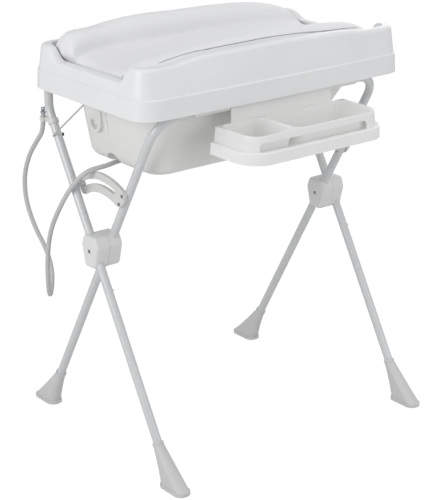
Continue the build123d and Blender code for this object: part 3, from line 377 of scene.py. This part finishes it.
# %% [markdown]
# The pad is a foam mat in a coated cotton cover, with a bolster along each long side. Its
# solid is the start, because that already fits the tray. A cloth simulation needs an even net
# of faces, so a copy of the solid is joined up and remeshed.


# %% An even net over the pad
def only(obj):
    """Selects one object and makes it active."""
    deselect_all()
    obj.select_set(True)
    bpy.context.view_layer.objects.active = obj


def copy_mesh(source, name):
    """A separate mesh object from a solid, with its loose triangles joined."""
    twin = bpy.data.objects.new(name, source.data.copy())
    scene.collection.objects.link(twin)
    only(twin)
    bpy.ops.object.mode_set(mode="EDIT")
    bpy.ops.mesh.select_all(action="SELECT")
    bpy.ops.mesh.remove_doubles(threshold=SAME_PLACE)
    bpy.ops.object.mode_set(mode="OBJECT")
    return twin


SAME_PLACE = 0.00005
PAD_NET = 0.005
pad = copy_mesh(nodes["changer_pad"], "pad_cover")
remesh = pad.modifiers.new("net", "REMESH")
remesh.mode = "VOXEL"
remesh.voxel_size = PAD_NET
bpy.ops.object.modifier_apply(modifier=remesh.name)
print("pad net:", len(pad.data.vertices), "points")

# %% [markdown]
# The front bolster of the real pad is lower than the rear one, and the rear one stays full
# right to its left end. Two tables of heights along the pad, read in millimetres, move the
# points up or down, and the left end is pushed out to meet the tray's wall.


# %% Heights of the two bolsters
def between(x, table):
    """Reads a table of (place, value) pairs, on a straight line between its rows."""
    if x <= table[0][0]:
        return table[0][1]
    for (x0, v0), (x1, v1) in zip(table, table[1:]):
        if x <= x1:
            part = (x - x0) / (x1 - x0)
            return v0 + (v1 - v0) * part
    return table[-1][1]


def ramp(low, high, value):
    """Goes smoothly from 0 at low to 1 at high."""
    part = min(max((value - low) / (high - low), 0), 1)
    return part * part * (3 - 2 * part)


def pad_place(vertex):
    """A point's place in millimetres from the crossing of the legs."""
    return vertex.co.x * 1000, vertex.co.y * 1000 - STAND_Y, vertex.co.z * 1000


# place along the pad, and height there: the solid's rear bolster, then the real front one
REAR_CREST = [(-383, 1034), (-368, 1047), (-330, 1053), (-153, 1070), (0, 1072), (153, 1066),
              (260, 1055), (330, 1038), (368, 1014), (383, 990)]
FRONT_CREST = [(-383, 1012), (-368, 1026), (-330, 1042), (-268, 1053), (-153, 1061), (0, 1063),
               (153, 1060), (260, 1054), (311, 1050), (345, 1036), (368, 1013), (383, 990)]
PAD_LOW = 1000  # nothing moves below this height
# place along the pad, and how much higher than its solid the real rear bolster is there
REAR_LIFT = [(-383, 4), (-368, 8), (-330, 12), (-250, 11), (-180, 7), (-120, 3), (-40, 0)]
LIFT_RISE = 30
FRONT_FULL_Y = 90
REAR_START_Y, REAR_FULL_Y = 40, 150
END_PUSH = 5
END_START_X, END_FULL_X = 300, 365
for vertex in pad.data.vertices:
    x, y, z = pad_place(vertex)
    if z > PAD_LOW:
        full = (between(x, FRONT_CREST) - PAD_LOW) / max(between(x, REAR_CREST) - PAD_LOW, 1)
        lower = 1 + (min(full, 1) - 1) * ramp(0, FRONT_FULL_Y, -y)
        lift = between(x, REAR_LIFT) * ramp(REAR_START_Y, REAR_FULL_Y, y)
        lift *= ramp(PAD_LOW, PAD_LOW + LIFT_RISE, z)
        vertex.co.z = (PAD_LOW + (z - PAD_LOW) * lower + lift) / 1000
        vertex.co.x -= END_PUSH * ramp(END_START_X, END_FULL_X, -x) / 1000
print("pad top", round(max(vertex.co.z for vertex in pad.data.vertices), 4), "m")

# %% [markdown]
# The foam blows the cover up a little. The net is slimmed, given pressure in a cloth
# simulation with no gravity, held to a few millimetres of swell, and smoothed. That gives a
# full and slightly uneven swell that modelling by hand does not.

# %% The swell of the cover, by cloth simulation
PAD_SHRINK = 0.0025
PAD_SWELL_CAP = 0.006
CLOTH_FRAMES = 20
CLOTH_MASS = 0.4
CLOTH_STRETCH = 12
CLOTH_SHEAR = 6
CLOTH_BEND = 0.4
FOAM_PRESSURE = 4
SMOOTH_FACTOR = 0.5
SMOOTH_TIMES = 6
slim = pad.modifiers.new("slim", "DISPLACE")
slim.strength = -PAD_SHRINK
slim.mid_level = 0
bpy.ops.object.modifier_apply(modifier=slim.name)
start = [v.co.copy() for v in pad.data.vertices]
cloth = pad.modifiers.new("cloth", "CLOTH")
cloth.settings.quality = 5
cloth.settings.mass = CLOTH_MASS
cloth.settings.tension_stiffness = CLOTH_STRETCH
cloth.settings.compression_stiffness = CLOTH_STRETCH
cloth.settings.shear_stiffness = CLOTH_SHEAR
cloth.settings.bending_stiffness = CLOTH_BEND
cloth.settings.use_pressure = True
cloth.settings.uniform_pressure_force = FOAM_PRESSURE
cloth.settings.effector_weights.gravity = 0
cloth.point_cache.frame_start = 1
cloth.point_cache.frame_end = CLOTH_FRAMES
for step in range(1, CLOTH_FRAMES + 1):
    scene.frame_set(step)
only(pad)
bpy.ops.object.modifier_apply(modifier=cloth.name)
scene.frame_set(1)
for vertex, home in zip(pad.data.vertices, start):
    move = vertex.co - home
    if move.length > PAD_SWELL_CAP:
        vertex.co = home + move.normalized() * PAD_SWELL_CAP
smooth = pad.modifiers.new("smooth", "SMOOTH")
smooth.factor = SMOOTH_FACTOR
smooth.iterations = SMOOTH_TIMES
bpy.ops.object.modifier_apply(modifier=smooth.name)
print("pad swell held to", PAD_SWELL_CAP, "m")

# %% [markdown]
# Where the cover is drawn together at the pad's rear left corner it gathers in a few short
# folds, and a fainter set runs in from the other corners. They are set into the mesh along
# its normals, so that they catch the light as real cloth does.

# %% Gathered folds at the pad's corners
# corner x and y, reach, depth and pitch of its folds, in millimetres
FOLDS = [
    (-372, 178, 34, 1.7, 15.0),
    (372, 172, 30, 0.9, 17.0),
    (-372, -176, 30, 0.8, 17.0),
    (372, -176, 30, 0.8, 17.0),
]
FOLD_LOW, FOLD_FULL = 985, 1000
FOLD_ROUND = 34
FAN_X, FAN_Y = 0.9, 0.72  # the folds fan out from a point this share of the way to a corner
pad.data.update()
shifts = []
for vertex in pad.data.vertices:
    x, y, z = pad_place(vertex)
    shift = 0.0
    for fold_x, fold_y, reach, depth, pitch in FOLDS:
        away = math.hypot(x - fold_x, y - fold_y)
        if away < 2 * reach and z > FOLD_LOW:
            round_corner = math.atan2(y - fold_y * FAN_Y, x - fold_x * FAN_X) * FOLD_ROUND
            fade = (1 - ramp(0.6 * reach, 2 * reach, away)) * ramp(FOLD_LOW, FOLD_FULL, z)
            shift += depth * math.sin(2 * math.pi * round_corner / pitch) * fade
    shifts.append(vertex.normal * (shift / 1000))
for vertex, shift in zip(pad.data.vertices, shifts):
    vertex.co = vertex.co + shift
only(pad)
bpy.ops.object.shade_smooth()
print("pad cover faces", len(pad.data.polygons))

# %% [markdown]
# A thin grey welt closes the cover where its upright border meets the top. Its line is found
# by looking at the finished pad from outside, so that it lies on the cloth all the way round,
# and is then evened out, because a sewn line is smoother than the net it was found on.

# %% The line of the welt
# place along the pad, and the seam's height there
SEAM_FRONT = [(-368, 1010), (-346, 1034), (-313, 1041), (-277, 1047), (-242, 1052), (-140, 1055),
              (0, 1056), (96, 1054), (170, 1049), (264, 1045), (344, 1034), (368, 1006)]
SEAM_REAR = [(-368, 1030), (-330, 1036), (0, 1040), (260, 1034), (330, 1018), (368, 996)]
SEAM_STEP = 10
SEAM_RIGHT_Z, SEAM_LEFT_Z = 990, 985
OUTSIDE_X, OUTSIDE_Y = 470, 290
LOOK_REACH = 0.3
EVENINGS = 4
pad_tree = BVHTree.FromObject(pad, bpy.context.evaluated_depsgraph_get())


def on_pad(x, y, z, toward):
    """The place where a line from outside meets the pad."""
    return pad_tree.ray_cast(place(x, y, z), Vector(toward), LOOK_REACH)[0]


along = [step * SEAM_STEP for step in range(-36, 37)]
across = [step * SEAM_STEP for step in range(-16, 17)]
seam = [on_pad(x, -OUTSIDE_Y, between(x, SEAM_FRONT), (0, 1, 0)) for x in along]
seam += [on_pad(OUTSIDE_X, y, SEAM_RIGHT_Z, (-1, 0, 0)) for y in across]
seam += [on_pad(x, OUTSIDE_Y, between(x, SEAM_REAR), (0, -1, 0)) for x in reversed(along)]
seam += [on_pad(-OUTSIDE_X, y, SEAM_LEFT_Z, (1, 0, 0)) for y in reversed(across)]
seam = [spot for spot in seam if spot is not None]
for evening in range(EVENINGS):
    after = seam[1:] + seam[:1]
    before = seam[-1:] + seam[:-1]
    seam = [(b + 2 * m + a) / 4 for b, m, a in zip(before, seam, after)]
print("welt points", len(seam))

# %% [markdown]
# A round bevel on a closed curve makes the piping in one go. It becomes a mesh at the end,
# as the cover is one.

# %% The welt, swept along its line
WELT_R = 0.0012
welt_curve = bpy.data.curves.new("pad_welt", "CURVE")
welt_curve.dimensions = "3D"
welt_line = welt_curve.splines.new("NURBS")
welt_line.points.add(len(seam) - 1)
for point, spot in zip(welt_line.points, seam):
    point.co = (*spot, 1)
welt_line.use_cyclic_u = True
welt_line.order_u = 4
welt_curve.bevel_depth = WELT_R
welt_curve.bevel_resolution = 2
welt_curve.resolution_u = 3
welt = bpy.data.objects.new("pad_welt", welt_curve)
scene.collection.objects.link(welt)
only(welt)
bpy.ops.object.convert(target="MESH")
bpy.ops.object.shade_smooth()
print("welt faces", len(welt.data.polygons))

# %% [markdown]
# The coated cover has a fine weave under a soft sheen, and broad shallow creases. Each is a
# noise in object space that drives its own bump, and the two bumps are chained.

# %% The pad's finish
WEAVE_SCALE, WEAVE_DEPTH = 900, 0.00008
CREASE_SCALE, CREASE_DEPTH = 14, 0.0016
cover, tree, bsdf = shader("pad_cover")
links = tree.links
spot = tree.nodes.new("ShaderNodeTexCoord")
weave = tree.nodes.new("ShaderNodeTexNoise")
weave.inputs["Scale"].default_value = WEAVE_SCALE
weave.inputs["Detail"].default_value = 2
links.new(spot.outputs["Object"], weave.inputs["Vector"])
crease = tree.nodes.new("ShaderNodeTexNoise")
crease.inputs["Scale"].default_value = CREASE_SCALE
crease.inputs["Detail"].default_value = 5
crease.inputs["Roughness"].default_value = 0.55
links.new(spot.outputs["Object"], crease.inputs["Vector"])
fine = tree.nodes.new("ShaderNodeBump")
fine.inputs["Strength"].default_value = 0.3
fine.inputs["Distance"].default_value = WEAVE_DEPTH
links.new(weave.outputs["Fac"], fine.inputs["Height"])
broad = tree.nodes.new("ShaderNodeBump")
broad.inputs["Strength"].default_value = 0.5
broad.inputs["Distance"].default_value = CREASE_DEPTH
links.new(crease.outputs["Fac"], broad.inputs["Height"])
links.new(broad.outputs["Normal"], fine.inputs["Normal"])
links.new(fine.outputs["Normal"], bsdf.inputs["Normal"])
bsdf.inputs["Base Color"].default_value = (0.785, 0.786, 0.797, 1)
bsdf.inputs["Roughness"].default_value = 0.5
bsdf.inputs["Sheen Weight"].default_value = 0.15
print("cover finish nodes:", len(tree.nodes))

# %% [markdown]
# The cover and its welt ride on the changing top. The cover stands for the solid pad, which
# stays in the motion model for its collisions.

# %% The pad joins the model
for piece, finish in ((pad, cover), (welt, piping_grey)):
    piece.data.materials.clear()
    piece.data.materials.append(finish)
    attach(piece, "changer")
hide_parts("changer_pad")
print("pad and welt ride on the changer")
